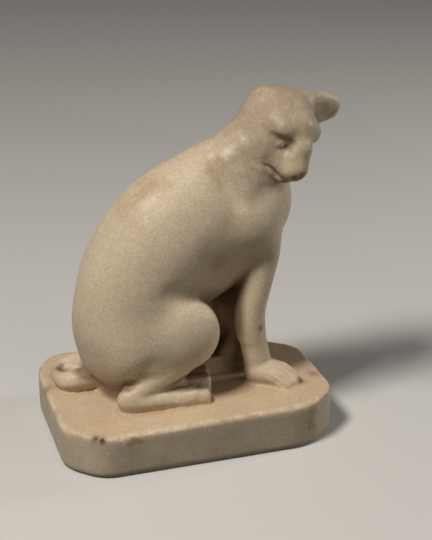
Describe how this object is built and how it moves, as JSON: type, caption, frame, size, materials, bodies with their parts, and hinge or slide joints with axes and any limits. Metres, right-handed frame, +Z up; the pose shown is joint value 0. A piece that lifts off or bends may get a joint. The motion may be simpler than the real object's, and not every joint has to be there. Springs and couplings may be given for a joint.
{
  "type": "seated cat statue",
  "caption": "Carved marble cat sitting upright on its own thick plinth, head bowed and turned to its right, tail curled behind it, near ear broken away.",
  "frame": {"origin": "middle of the plinth's flat underside", "axes": "+Z up, +X the way the cat's body faces, +Y towards its left side; its head is turned towards -Y"},
  "size_m": [0.2609, 0.1754, 0.2994],
  "materials": {
    "marble": "satin"
  },
  "bodies": {
    "root": {"cat_and_plinth": "marble"}
  },
  "joints": []
}
